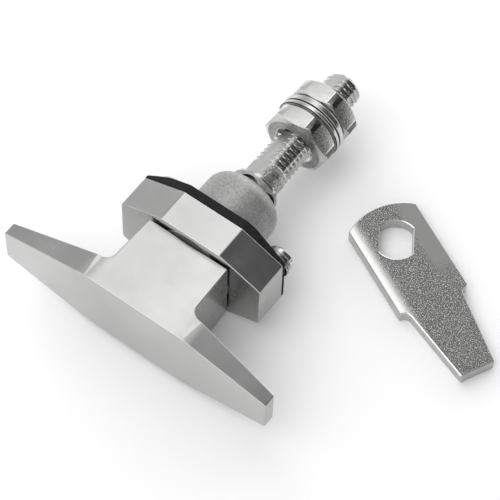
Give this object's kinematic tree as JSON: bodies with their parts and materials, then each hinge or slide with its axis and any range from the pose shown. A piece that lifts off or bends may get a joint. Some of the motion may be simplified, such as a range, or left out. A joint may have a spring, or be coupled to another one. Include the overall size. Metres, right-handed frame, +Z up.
{
  "type": "quarter-turn cabinet lock body",
  "caption": "Quarter-turn T-handle lock body with an elongated octagonal base, rubber gasket, round boss, flatted threaded spindle with hexagon nuts, and a loose tapered cam plate.",
  "frame": {"origin": "on the spindle axis, on the rear face of the gasket, which meets the door", "axes": "+Y along the spindle into the cabinet, +X along the T grip to its right end seen from the front, +Z up"},
  "size_m": [0.1108, 0.0879, 0.025],
  "materials": {
    "cast_steel": "satin ground stainless casting",
    "spindle_steel": "turned and milled stainless steel",
    "pin_steel": "ground steel pin",
    "seal_rubber": "smooth black rubber",
    "gasket_rubber": "matte black rubber",
    "ring_steel": "turned stainless steel",
    "nut_steel": "drawn hexagon bar, bright chamfers",
    "washer_steel": "stamped stainless steel",
    "screw_steel": "bright stainless screw",
    "plated_plate": "blanked steel plate with a coarse tumbled surface"
  },
  "bodies": {
    "lock_base": {"base": "cast_steel", "stop_pin": "pin_steel", "gasket": "gasket_rubber", "screw_left": "screw_steel", "screw_right": "screw_steel", "screw_spring_left": "screw_steel", "screw_spring_right": "screw_steel", "screw_washer_left": "screw_steel", "screw_washer_right": "screw_steel"},
    "turning_handle": {"handle": "cast_steel", "spindle": "spindle_steel", "cross_pin": "pin_steel", "shaft_seal": "seal_rubber", "thrust_ring": "ring_steel", "retaining_ring": "ring_steel"},
    "inner_stack": {"flat_washer": "washer_steel"},
    "inner_nut": {"inner_nut": "nut_steel"},
    "outer_stack": {"spring_washer": "washer_steel"},
    "outer_nut": {"outer_nut": "nut_steel"},
    "cam_plate": {"cam": "plated_plate"}
  },
  "joints": [
    {"name": "handle_turn", "type": "hinge", "parent": "lock_base", "child": "turning_handle", "pos_m": [0, 0, 0], "axis": [0, 1, 0], "range_deg": [0, 90]},
    {"name": "inner_washer_slide", "type": "slide", "parent": "turning_handle", "child": "inner_stack", "axis": [0, 1, 0], "range_m": [-0.009, 0]},
    {"name": "inner_nut_turn", "type": "hinge", "parent": "inner_stack", "child": "inner_nut", "pos_m": [0, 0.0339, 0], "axis": [0, 1, 0], "range_deg": [-2160, 0]},
    {"name": "outer_washer_slide", "type": "slide", "parent": "turning_handle", "child": "outer_stack", "axis": [0, 1, 0], "range_m": [0, 0.006]},
    {"name": "outer_nut_turn", "type": "hinge", "parent": "outer_stack", "child": "outer_nut", "pos_m": [0, 0.0432, 0], "axis": [0, 1, 0], "range_deg": [0, 1440]},
    {"name": "cam_lift", "type": "slide", "parent": "lock_base", "child": "cam_plate", "axis": [0, 0, 1], "range_m": [0, 0.05]}
  ],
  "couplings": [
    {"joint": "inner_washer_slide", "follows": "inner_nut_turn", "m_per_rad": 0.00023873},
    {"joint": "outer_washer_slide", "follows": "outer_nut_turn", "m_per_rad": 0.00023873}
  ]
}
